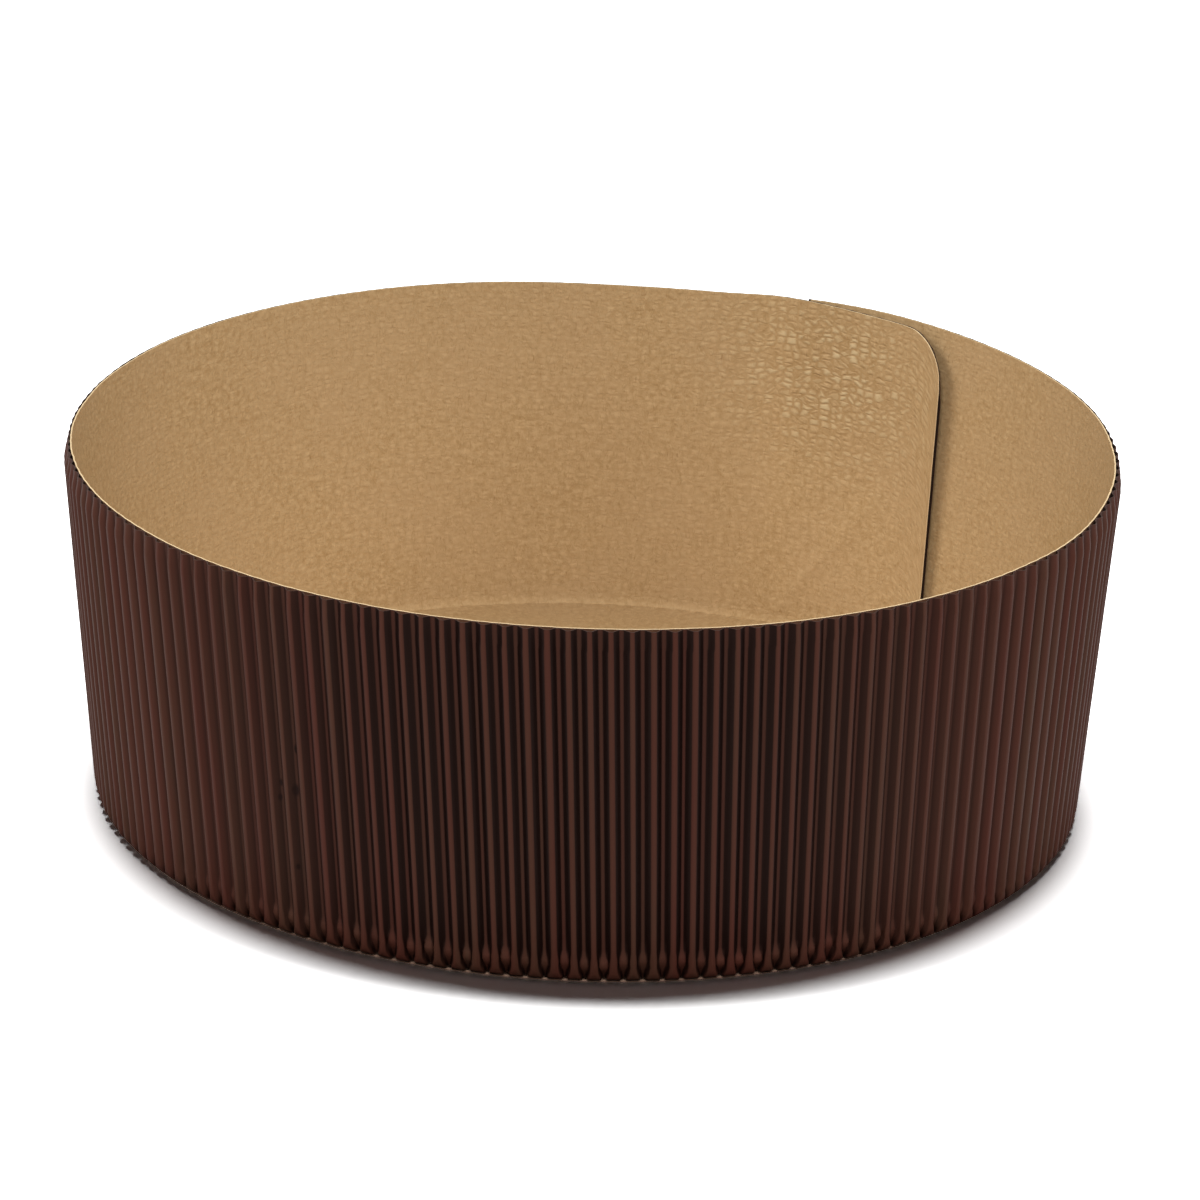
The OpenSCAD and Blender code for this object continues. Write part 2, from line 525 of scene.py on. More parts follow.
@dataclass(frozen=True)
class KraftLiner:
    """Machine-glazed kraft paper: a warm tan, mottled with fibres, with a dull sheen.

    The glue and the press have left it with a net of blocky cells and fine creases, whose sunk
    borders and lines carry painted shade. The cells stand out, and are shinier, beside the seam, where their
    raised tops carry a painted highlight in a paler colour.
    """

    name: str = "machine_glazed_kraft"
    body: str = "#ab8e69"
    light: str = "#b4976f"
    dark: str = "#9c7e56"
    # Colour of the painted highlight on the raised cells beside the seam
    shine_and_painted_highlight: str = "#bfab86"
    # Colour of the painted shade in the cells' sunk borders and in the fine creases
    crease: str = "#85673e"
    fleck: str = "#70512f"
    mottle_mm: float = 1.2
    cloud_mm: float = 22.0
    fibre_mm: float = 0.45
    crease_mm: float = 1.5
    cell_w_mm: float = 1.9
    cell_h_mm: float = 1.05
    wander_mm: float = 3.5
    wander_by_mm: float = 1.6
    fibre_upright: float = 0.25
    crease_upright: float = 0.45
    roughness: float = 0.6
    shiny_roughness: float = 0.34

    def material(self) -> bpy.types.Material:
        """Builds the node material.

        Returns:
            The material.
        """
        material, tree, output = fresh_material(self.name)
        flat = add(tree, "UVMap", {"uv_map": STRIP_MAP}).outputs["UV"]
        seam = add(tree, "Attribute", {"attribute_name": PAINTED_LIGHT_AND_GLOSS}).outputs["Fac"]
        tall = add(tree, "Mapping", {"Scale": (1, self.fibre_upright, 1)},
                   {"Vector": flat}).outputs["Vector"]
        fibre = add(tree, "TexNoise", {"Scale": 1 / (self.fibre_mm * MM), "Detail": 3.0, "Roughness": 0.6},
                    {"Vector": tall})
        kraft = self.mottled(tree, flat)
        flecks = add(tree, "MapRange", {"From Min": 0.62, "From Max": 0.78, "To Max": 0.6},
                     {"Value": fibre.outputs["Fac"]})
        flecked = add(tree, "Mix", {"data_type": "RGBA", "B_Color": linear(self.fleck)},
                      {"Factor_Float": flecks.outputs["Result"], "A_Color": kraft})
        raised, cell_highlight = self.pressed_cells(tree, flat)
        creases = self.fine_creases(tree, flat)
        # Painted shade in the cells' sunk borders, deepest beside the seam, and in the fine creases
        depth = add(tree, "MapRange", {"To Min": 0.35, "To Max": 1.0}, {"Value": seam}).outputs["Result"]
        painted_border_shade = add(tree, "MapRange", {"From Min": 1.0, "From Max": 0.0, "To Max": 0.42}, {"Value": raised})
        painted_border_shade_here = add(tree, "Math", {"operation": "MULTIPLY"},
                        {"Value": painted_border_shade.outputs["Result"], "Value_001": depth})
        lines = add(tree, "Math", {"operation": "MAXIMUM"},
                    {"Value": painted_border_shade_here.outputs["Value"], "Value_001": creases})
        creased = add(tree, "Mix", {"data_type": "RGBA", "B_Color": linear(self.crease)},
                      {"Factor_Float": lines.outputs["Value"],
                       "A_Color": socket(flecked.outputs, "Result_Color")})
        # Painted highlight: the raised tops of the cells turn paler beside the seam
        pale = add(tree, "Math", {"operation": "MULTIPLY"}, {"Value": raised, "Value_001": cell_highlight})
        painted_highlight_here = add(tree, "Math", {"operation": "MULTIPLY"},
                        {"Value": pale.outputs["Value"], "Value_001": seam})
        glazed = add(tree, "Mix", {"data_type": "RGBA", "B_Color": linear(self.shine_and_painted_highlight)},
                     {"Factor_Float": painted_highlight_here.outputs["Value"],
                      "A_Color": socket(creased.outputs, "Result_Color")})
        rough = add(tree, "MapRange", {"To Min": self.roughness, "To Max": self.shiny_roughness},
                    {"Value": seam})
        pressed = add(tree, "Math", {"operation": "MULTIPLY"}, {"Value": raised, "Value_001": depth})
        fibres = add(tree, "Bump", {"Strength": 0.5, "Distance": 0.04 * MM},
                     {"Height": fibre.outputs["Fac"]})
        folded = add(tree, "Bump", {"Strength": 0.5, "Distance": 0.05 * MM, "invert": True},
                     {"Height": creases, "Normal": fibres.outputs["Normal"]})
        emboss = add(tree, "Bump", {"Strength": 0.9, "Distance": 0.12 * MM},
                     {"Height": pressed.outputs["Value"], "Normal": folded.outputs["Normal"]})
        paper = add(tree, "BsdfPrincipled", {"IOR": PAPER_IOR},
                    {"Base Color": socket(glazed.outputs, "Result_Color"),
                     "Roughness": rough.outputs["Result"], "Normal": emboss.outputs["Normal"]})
        tree.links.new(paper.outputs["BSDF"], output.inputs["Surface"])
        return material

    def mottled(self, tree: bpy.types.NodeTree, flat: bpy.types.NodeSocket) -> bpy.types.NodeSocket:
        """Adds the paper's own colour: light and dark spots under slow, broad clouds.

        Args:
            tree: The material's node tree.
            flat: The strip's own coordinates in metres.

        Returns:
            The colour.
        """
        mottle = add(tree, "TexNoise",
                     {"Scale": 1 / (self.mottle_mm * MM), "Detail": 4.0, "Roughness": 0.7},
                     {"Vector": flat})
        cloud = add(tree, "TexNoise", {"Scale": 1 / (self.cloud_mm * MM), "Detail": 2.0}, {"Vector": flat})
        light = add(tree, "MapRange", {"From Min": 0.38, "From Max": 0.62},
                    {"Value": mottle.outputs["Fac"]})
        spots = add(tree, "Mix", {"data_type": "RGBA", "A_Color": linear(self.dark),
                                  "B_Color": linear(self.light)},
                    {"Factor_Float": light.outputs["Result"]})
        clouds = add(tree, "MapRange", {"From Min": 0.35, "From Max": 0.65, "To Min": 0.15, "To Max": 0.6},
                     {"Value": cloud.outputs["Fac"]})
        kraft = add(tree, "Mix", {"data_type": "RGBA", "B_Color": linear(self.body)},
                    {"Factor_Float": clouds.outputs["Result"],
                     "A_Color": socket(spots.outputs, "Result_Color")})
        return socket(kraft.outputs, "Result_Color")

    def fine_creases(self, tree: bpy.types.NodeTree, flat: bpy.types.NodeSocket) -> bpy.types.NodeSocket:
        """Adds the share of each fine upright crease, the thin winding lines that kraft paper has.

        Args:
            tree: The material's node tree.
            flat: The strip's own coordinates in metres.

        Returns:
            A value above 0 on the lines.
        """
        tall = add(tree, "Mapping", {"Scale": (1, self.crease_upright, 1)},
                   {"Vector": flat}).outputs["Vector"]
        folds = add(tree, "TexNoise",
                    {"Scale": 1 / (self.crease_mm * MM), "Detail": 2.0, "Distortion": 1.2},
                    {"Vector": tall})
        off_line = add(tree, "Math", {"operation": "SUBTRACT", "Value_001": 0.5},
                       {"Value": folds.outputs["Fac"]})
        away = add(tree, "Math", {"operation": "ABSOLUTE"}, {"Value": off_line.outputs["Value"]})
        line = add(tree, "MapRange", {"From Min": 0.03, "From Max": 0.0, "To Max": 0.45},
                   {"Value": away.outputs["Value"]})
        return line.outputs["Result"]

    def pressed_cells(self, tree: bpy.types.NodeTree,
                      flat: bpy.types.NodeSocket) -> tuple[bpy.types.NodeSocket, bpy.types.NodeSocket]:
        """Adds the pressed cells: blocks a few flutes' width apart, with upright and level borders.

        Args:
            tree: The material's node tree.
            flat: The strip's own coordinates in metres.

        Returns:
            The height of the cells from 0 on their borders to 1, and the strength of each cell's painted
            highlight.
        """
        wander = add(tree, "TexNoise", {"Scale": 1 / (self.wander_mm * MM), "Detail": 2.0},
                     {"Vector": flat})
        offset = add(tree, "VectorMath", {"operation": "SCALE", "Scale": self.wander_by_mm * MM},
                     {"Vector": wander.outputs["Color"]})
        bent = add(tree, "VectorMath", {"operation": "ADD"},
                   {"Vector": flat, "Vector_001": offset.outputs["Vector"]})
        cells = add(tree, "Mapping", {"Scale": (1 / (self.cell_w_mm * MM), 1 / (self.cell_h_mm * MM), 1)},
                    {"Vector": bent.outputs["Vector"]})
        form = {"voronoi_dimensions": "2D", "distance": "CHEBYCHEV", "Scale": 1.0, "Randomness": 0.85}
        own = add(tree, "TexVoronoi", {**form, "feature": "F1"}, {"Vector": cells.outputs["Vector"]})
        other = add(tree, "TexVoronoi", {**form, "feature": "F2"}, {"Vector": cells.outputs["Vector"]})
        border = add(tree, "Math", {"operation": "SUBTRACT"},
                     {"Value": other.outputs["Distance"], "Value_001": own.outputs["Distance"]})
        raised = add(tree, "MapRange", {"From Max": 0.75, "interpolation_type": "SMOOTHSTEP"},
                     {"Value": border.outputs["Value"]})
        cell_highlight = add(tree, "MapRange", {"From Min": 0.3, "From Max": 0.7, "To Max": 0.8},
                   {"Value": own.outputs["Color"]})
        return raised.outputs["Result"], cell_highlight.outputs["Result"]


@dataclass(frozen=True)
class PlainKraft:
    """Unbleached kraft paper or board, dull and flecked with darker fibres."""

    name: str
    body: str
    fleck: str
    fibre_mm: float = 0.7
    along_fibre: float = 0.3
    roughness: float = 0.8

    def material(self) -> bpy.types.Material:
        """Builds the node material.

        Returns:
            The material.
        """
        material, tree, output = fresh_material(self.name)
        place = add(tree, "TexCoord").outputs["Object"]
        long = add(tree, "Mapping", {"Scale": (1, self.along_fibre, 1)},
                   {"Vector": place}).outputs["Vector"]
        fibre = add(tree, "TexNoise", {"Scale": 1 / (self.fibre_mm * MM), "Detail": 4.0, "Roughness": 0.65},
                    {"Vector": long})
        share = add(tree, "MapRange", {"From Min": 0.4, "From Max": 0.75, "To Max": 0.6},
                    {"Value": fibre.outputs["Fac"]})
        colour = add(tree, "Mix", {"data_type": "RGBA", "A_Color": linear(self.body),
                                   "B_Color": linear(self.fleck)},
                     {"Factor_Float": share.outputs["Result"]})
        bump = add(tree, "Bump", {"Strength": 0.3, "Distance": 0.03 * MM}, {"Height": fibre.outputs["Fac"]})
        paper = add(tree, "BsdfPrincipled", {"Roughness": self.roughness, "IOR": PAPER_IOR},
                    {"Base Color": socket(colour.outputs, "Result_Color"),
                     "Normal": bump.outputs["Normal"]})
        tree.links.new(paper.outputs["BSDF"], output.inputs["Surface"])
        return material


LINER = KraftLiner()
BROWN = CoatedBrownPaper()
# The liner's glued side, painted much darker than the liner as shade, since it is seen only in the shade of
# the flutes' open ends
SHADED_LINER_BACK = PlainKraft("kraft_back_painted_shade", "#5d4030", "#432b1f")
# Cut fibres make the liner's edge paler than its face
CUT_EDGE = PlainKraft("cut_kraft_edge", "#d9c19a", "#b8986e", fibre_mm=0.25)
# The brown paper's inner side, painted nearly black as the shade in the flutes' open ends
BROWN_BACK_SHADED = PlainKraft("brown_paper_back_painted_shade", "#1c0f0a", "#120806")
# The brown paper's cut edge, a little browner than its back
CUT_BROWN_EDGE = PlainKraft("cut_brown_edge", "#332018", "#1d100b", fibre_mm=0.25)
# Board is paler and duller than the liner, and its cut edge is painted darker and greyer as the shade under
# the foot
BOARD = PlainKraft("kraft_board", "#bd9c70", "#a08259")
BOARD_EDGE_SHADED = PlainKraft("cut_board_edge_painted_shade", "#83695a", "#5f4a3e", fibre_mm=0.3)


def rolled_sheet(name: str, columns: int, rows: int, shape: Callable[[int, int], Vector],
                 flat: Callable[[int, int], tuple[float, float]], painted_light_and_gloss: Callable[[int, int], float],
                 outwards: bool) -> bpy.types.Object:
    """Makes a flat sheet of paper and gives it its shape round the mold.

    Args:
        name: The piece's name.
        columns: Steps along the strip.
        rows: Steps across it, from the rim down.
        shape: Place of a point, by its column and row.
        flat: Place of a point on the flat strip, in metres, for the patterns.
        painted_light_and_gloss: Value of the relief attribute at a point.
        outwards: Whether the sheet's front faces out of the mold.

    Returns:
        The new object.
    """
    bm = bmesh.new()
    bmesh.ops.create_grid(bm, x_segments=columns, y_segments=rows, size=1.0)
    strip_map = bm.loops.layers.uv.new(STRIP_MAP)
    painted_light_layer = bm.verts.layers.float.new(PAINTED_LIGHT_AND_GLOSS)
    places = {}
    for vert in bm.verts:
        column = round((vert.co.x + 1) / 2 * columns)
        places[vert] = (columns - column if outwards else column, round((1 - vert.co.y) / 2 * rows))
    for face in bm.faces:
        face.smooth = True
        for loop in face.loops:
            loop[strip_map].uv = flat(*places[loop.vert])
    for vert, (column, row) in places.items():
        vert.co = shape(column, row)
        vert[painted_light_layer] = painted_light_and_gloss(column, row)
    mesh = bpy.data.meshes.new(name)
    bm.to_mesh(mesh)
    bm.free()
    piece = bpy.data.objects.new(name, mesh)
    bpy.context.scene.collection.objects.link(piece)
    return piece


def thicken(piece: bpy.types.Object, thickness: float, materials: Sequence[bpy.types.Material]) -> None:
    """Gives a sheet its thickness, half to each side, and its materials.

    Args:
        piece: The sheet's object.
        thickness: Thickness in millimetres.
        materials: Materials of the front, the back and the cut edge.
    """
    for material in materials:
        piece.data.materials.append(material)
    wall = piece.modifiers.new("thickness", "SOLIDIFY")
    wall.thickness = thickness * MM
    wall.offset = 0.0
    wall.use_even_offset = False
    wall.material_offset = 1
    wall.material_offset_rim = 2
    settled = piece.evaluated_get(bpy.context.evaluated_depsgraph_get())
    solid = bpy.data.meshes.new_from_object(settled)
    solid.name = piece.name
    piece.modifiers.clear()
    piece.data = solid
    solid.set_sharp_from_angle(angle=CREASE_ANGLE)


@dataclass(frozen=True)
class FluteShape:
    """Half of one flute: widths in millimetres from the middle of the valley, heights from 0 to 1.

    The unshaded print is 1 where the brown shows in full, and 0 where painted shade makes the folds nearly
    black.
    """

    widths: tuple[float, ...]
    heights: tuple[float, ...]
    unshaded_print: tuple[float, ...]


@dataclass
class FlutedWall:
    """The brown fluted paper: upright flutes, pinched at the rim and crushed at the foot.

    The strip's outer end is cut at its first column, counted from the middle of the first valley.
    Painted shade makes the folds nearly black at the front, and less of it leaves them browner at the sides
    and the back.
    """

    sizes: WallSizes
    on_wall: FluteShape = FluteShape(
        (0, 0.24, 0.40, 0.78, 1.16, 1.29, 1.61), (0, 0.02, 0.10, 0.5, 0.90, 0.98, 1),
        (0.75, 0.6, 0, 0, 0, 0.8, 1))
    at_bulge: FluteShape = FluteShape(
        (0, 0.48, 0.72, 0.84, 0.96, 1.08, 1.61), (0.8, 0.76, 0.52, 0.25, 0.7, 0.97, 1),
        (1, 1, 0.6, 0, 0, 0.8, 1))
    at_foot: FluteShape = FluteShape(
        (0, 0.14, 0.26, 0.38, 0.50, 0.64, 1.61), (0, 0.03, 0.15, 0.5, 0.88, 1, 1),
        (0.3, 0.2, 0, 0, 0.5, 1, 1))
    bulge_z: float = 3.6
    bulge_half_h: float = 2.0
    foot_flare_z: float = 3.0
    foot_flare_h: float = 1.8
    # Where the front's darker painted shade in the folds and fuller bulges give way to the sides
    front: float = -90.0
    side_from: float = 18.0
    side_run: float = 42.0
    side_unshaded_print: tuple[float, ...] = (0.75, 0.5, 0.4, 0.85, 1, 1, 1)
    side_bulge: float = 0.3
    pinch_h: float = 3.1
    pinch_side: float = 0.12
    pinch_far_side: float = 0.02
    pinch_edge: float = 0.3
    pinch_edge_run: float = 0.5
    sway: float = 1.6
    crush_from: float = 0.4
    lip_h: float = 0.22
    lip_at: float = 0.8
    lip_reach: float = 0.1
    lip_narrow: float = 2.2
    waver: float = 0.05
    waver_noise: Ripple = Ripple(0.35, 0.08, 3.1)
    first_column: int = -4
    seed: int = 17
    rows: tuple[Row, ...] = (
        *(Row(Zone.BELOW_RIM, d) for d in (0, 0.5, 1.3, 2.2, 3.0, 3.6)),
        *(Row(Zone.MIDDLE, share) for share in (0.3, 0.65)),
        *(Row(Zone.ABOVE_HEEL, d) for d in (4.5, 2.6, 1.6, 0.8, 0)),
        *(Row(Zone.HEEL, share) for share in (0.25, 0.45, 0.62, 0.78, 0.9, 1)),
        *(Row(Zone.FLANGE, share) for share in (0.2, 1)),
    )
    kept_at_rim: tuple[tuple[float, float], ...] = (
        (-180, 0.12), (-165, 0.4), (-130, 0.75), (-90, 0.82), (-40, 0.7), (-12, 0.5), (0, 0.42), (5, 0.25),
        (10, 0.06), (150, 0.05), (180, 0.12))
    vary: list[dict[str, float]] = field(default_factory=list)

    def __post_init__(self) -> None:
        """Draws how each flute differs from the next."""
        draw = random.Random(self.seed)
        for _ in range(self.sizes.flutes * 2):
            self.vary.append({
                "crest": draw.uniform(-0.09, 0.09), "valley": draw.uniform(-0.05, 0.05),
                "height": draw.uniform(0.92, 1.0), "bulge": draw.uniform(0.55, 1.15),
                "bulge_z": draw.uniform(-0.45, 0.45), "side": draw.uniform(-0.05, 0.05),
                "lip": draw.uniform(0.6, 1.2), "pinch": draw.uniform(0.4, 1.3),
            })

    def sideways(self, direction: float) -> float:
        """Tells how far, 0 to 1, a direction lies from the front, where the folds' painted shade is darkest
        and the bulges fullest.
        """
        return ease((abs(turn_between(direction, self.front)) - self.side_from) / self.side_run)

    def kept(self, direction: float) -> float:
        """Gives the share of the flutes' height that is left at the rim.

        Args:
            direction: Direction from the axis in degrees.

        Returns:
            The share, from 0 to 1.
        """
        at = turn_between(direction, 0)
        for (low, low_kept), (high, high_kept) in zip(self.kept_at_rim, self.kept_at_rim[1:]):
            if low <= at <= high:
                return mix(low_kept, high_kept, ease((at - low) / (high - low)))
        return self.kept_at_rim[0][1]

    def column_parts(self, column: int) -> tuple[int, int, int, float]:
        """Splits a column's number into its flute and the point of the flute's shape.

        Args:
            column: The column, counted from the strip's outer end.

        Returns:
            The valley's number, the crest's number, the point in the half flute, and the side
            of the crest, which is 1 before it and -1 after it.
        """
        points = len(self.on_wall.widths) - 1
        flute, step = divmod(column + self.first_column, 2 * points)
        if step <= points:
            return flute, flute, step, 1.0
        return flute + 1, flute, 2 * points - step, -1.0

    @property
    def last_points(self) -> int:
        """Points of the last flute that the flap's end leaves."""
        return self.on_wall.widths.index(self.sizes.flap_extra)

    @property
    def columns(self) -> int:
        """Steps along the strip."""
        points = len(self.on_wall.widths) - 1
        return self.sizes.wall_flutes * 2 * points - self.first_column + self.last_points

    def foot_shares(self, row: Row, height_up: float, valley: dict[str, float],
                    sideways: float) -> tuple[float, float]:
        """Works out how much a point has of the bulge above the foot and of the crushed foot.

        Args:
            row: The point's row.
            height_up: Its height in millimetres, less what the lap adds under the foot.
            valley: How its valley differs from the others.
            sideways: How far, 0 to 1, it lies from the front.

        Returns:
            The bulge's share and the foot's share, each from 0 to 1.
        """
        if row.zone is Zone.FLANGE:
            return 0.0, 1.0
        off_middle = (height_up - self.bulge_z - valley["bulge_z"]) / self.bulge_half_h
        bulge = math.cos(min(1.0, abs(off_middle)) * math.pi / 2) ** 2 * min(1.0, valley["bulge"])
        foot = ease((self.foot_flare_z - height_up) / self.foot_flare_h)
        return bulge * mix(1.0, self.side_bulge, sideways), foot

    def uncrushed(self, row: Row) -> float:
        """Gives the share of the flutes' height that the folding of the foot leaves in a row.

        Args:
            row: The row of points.

        Returns:
            The share, from 0 to 1.
        """
        sizes = self.sizes
        crushed = (sizes.crushed_h - sizes.fluted_t) / (sizes.flute_h - sizes.fluted_t)
        if row.zone is Zone.FLANGE:
            return crushed
        if row.zone is Zone.HEEL:
            return mix(1.0, crushed, ease((row.at - self.crush_from) / (1 - self.crush_from)))
        return 1.0

    def lip(self, row: Row, lift: float) -> float:
        """Gives the height of the lip that a valley has low on the heel.

        Args:
            row: The row of points.
            lift: How far, 0 to 1, the point lies from the valley to the crest.

        Returns:
            The height in millimetres.
        """
        if row.zone is not Zone.HEEL:
            return 0.0
        narrowed = 1 - ease(lift * self.lip_narrow)
        return self.lip_h * swell(row.at, self.lip_at, self.lip_reach) * narrowed

    def shape_at(self, column: int, row: Row, section: Section) -> tuple[float, float, Place]:
        """Works out a point of the paper's middle surface.

        Args:
            column: The point's column.
            row: The point's row.
            section: The wall's section there.

        Returns:
            Degrees clockwise from the outer end, how clear of painted shade the print is from 0 to 1, and
            the point.
        """
        sizes = self.sizes
        valley, crest, point, side = self.column_parts(column)
        dents, tops = self.vary[valley], self.vary[crest]
        spot = section.place(row)
        above = section.place(Row(Zone.FLANGE, 0)).z
        direction = sizes.direction(column_angle(self, column))
        sideways = self.sideways(direction)
        bulge, foot = self.foot_shares(row, spot.z - above + sizes.toe_z, dents, sideways)
        shares = (1 - max(bulge, foot), bulge * (1 - foot), foot)
        shapes = (self.on_wall, self.at_bulge, self.at_foot)
        total = sum(shares)
        width = sum(s * shape.widths[point] for s, shape in zip(shares, shapes)) / total
        height = sum(s * shape.heights[point] for s, shape in zip(shares, shapes)) / total
        unshaded = sum(s * shape.unshaded_print[point] for s, shape in zip(shares, shapes)) / total
        # The folds get less painted shade towards the sides, except low at the foot
        unshaded = mix(unshaded, max(unshaded, self.side_unshaded_print[point]), sideways * (1 - foot))
        lift = point / (len(self.on_wall.widths) - 1)
        width += mix(dents["valley"], -tops["crest"], ease(lift)) * (1 - abs(2 * lift - 1)) * self.sway
        below_rim = section.rim_z - spot.z
        pinch = 0.0
        if row.zone is Zone.BELOW_RIM:
            pinch = ease((self.pinch_h - below_rim) / self.pinch_h)
            edge = ease((self.pinch_h + self.pinch_edge - below_rim) / self.pinch_edge_run)
            pushed = self.pinch_side if side < 0 else self.pinch_far_side
            width += pushed * edge * lift * (1 - lift) * 4 * tops["pinch"]
        rim_kept = mix(1.0, self.kept(direction), pinch)
        full = sizes.flute_h - sizes.fluted_t
        out = height * full * self.uncrushed(row) * rim_kept * tops["height"]
        out += self.lip(row, lift) * dents["lip"] + sizes.glue_t + sizes.fluted_t / 2
        base = valley * sizes.flute_angle + sizes.first_valley
        shift = tops["side"] * lift * sizes.degrees_per_mm
        a = base + side * width * sizes.degrees_per_mm + shift
        lowest = sizes.base_t + sizes.glue_t + sizes.fluted_t / 2
        place = Place(spot.r + out * spot.normal_r, max(lowest, spot.z + out * spot.normal_z),
                      spot.normal_r, spot.normal_z, spot.down)
        return a, unshaded, place

    def build(self) -> bpy.types.Object:
        """Builds the fluted paper.

        Returns:
            The finished piece.
        """
        sizes = self.sizes
        rim_rows = max(row.at for row in self.rows if row.zone is Zone.BELOW_RIM)
        heel_rows = max(row.at for row in self.rows if row.zone is Zone.ABOVE_HEEL)
        columns = range(self.columns + 1)
        sections = [sizes.section(column_angle(self, c), rim_rows, heel_rows) for c in columns]
        spots = {(c, j): self.shape_at(c, row, sections[c])
                 for c in columns for j, row in enumerate(self.rows)}

        def shape(column: int, row: int) -> Vector:
            """Places a point round the mold, with the wavering of a cut and handled paper."""
            a, _, spot = spots[column, row]
            waver = noise.noise(self.waver_noise.at(a, spot.z)) * self.waver
            return sizes.rolled(spot.r + waver * spot.normal_r, spot.z, a)

        def flat(column: int, row: int) -> tuple[float, float]:
            """Gives a point's place on the flat strip in metres."""
            a, _, spot = spots[column, row]
            return a / sizes.degrees_per_mm * MM, -spot.down * MM

        def painted_light_and_gloss(column: int, row: int) -> float:
            """Gives how much of the print's brown shows at a point, clear of the folds' painted shade."""
            return spots[column, row][1]

        piece = rolled_sheet("fluted_paper", self.columns, len(self.rows) - 1, shape, flat, painted_light_and_gloss,
                             outwards=True)
        thicken(piece, sizes.fluted_t, [BROWN.material(), BROWN_BACK_SHADED.material(), CUT_BROWN_EDGE.material()])
        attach(piece, "root")
        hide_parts("fluted_wall")
        return piece


def column_angle(wall: FlutedWall, column: int) -> float:
    """Gives a fluted column's turn on the plain wall.

    Args:
        wall: The fluted wall.
        column: The column, counted from the strip's outer end.

    Returns:
        Degrees clockwise from the outer end.
    """
    valley, _, point, side = wall.column_parts(column)
    sizes = wall.sizes
    off_valley = side * wall.on_wall.widths[point] * sizes.degrees_per_mm
    return sizes.first_valley + valley * sizes.flute_angle + off_valley


@dataclass(frozen=True)
class Crease:
    """A fold mark in the liner, from one point to another: direction in degrees and height.

    Each fade gives the share of the mark's length that it takes, and how far into it the end lies.
    """

    start: tuple[float, float]
    end: tuple[float, float]
    depth: float
    width: float
    start_fade: tuple[float, float] = (0.08, 0.5)
    end_fade: tuple[float, float] = (0.3, 0.2)


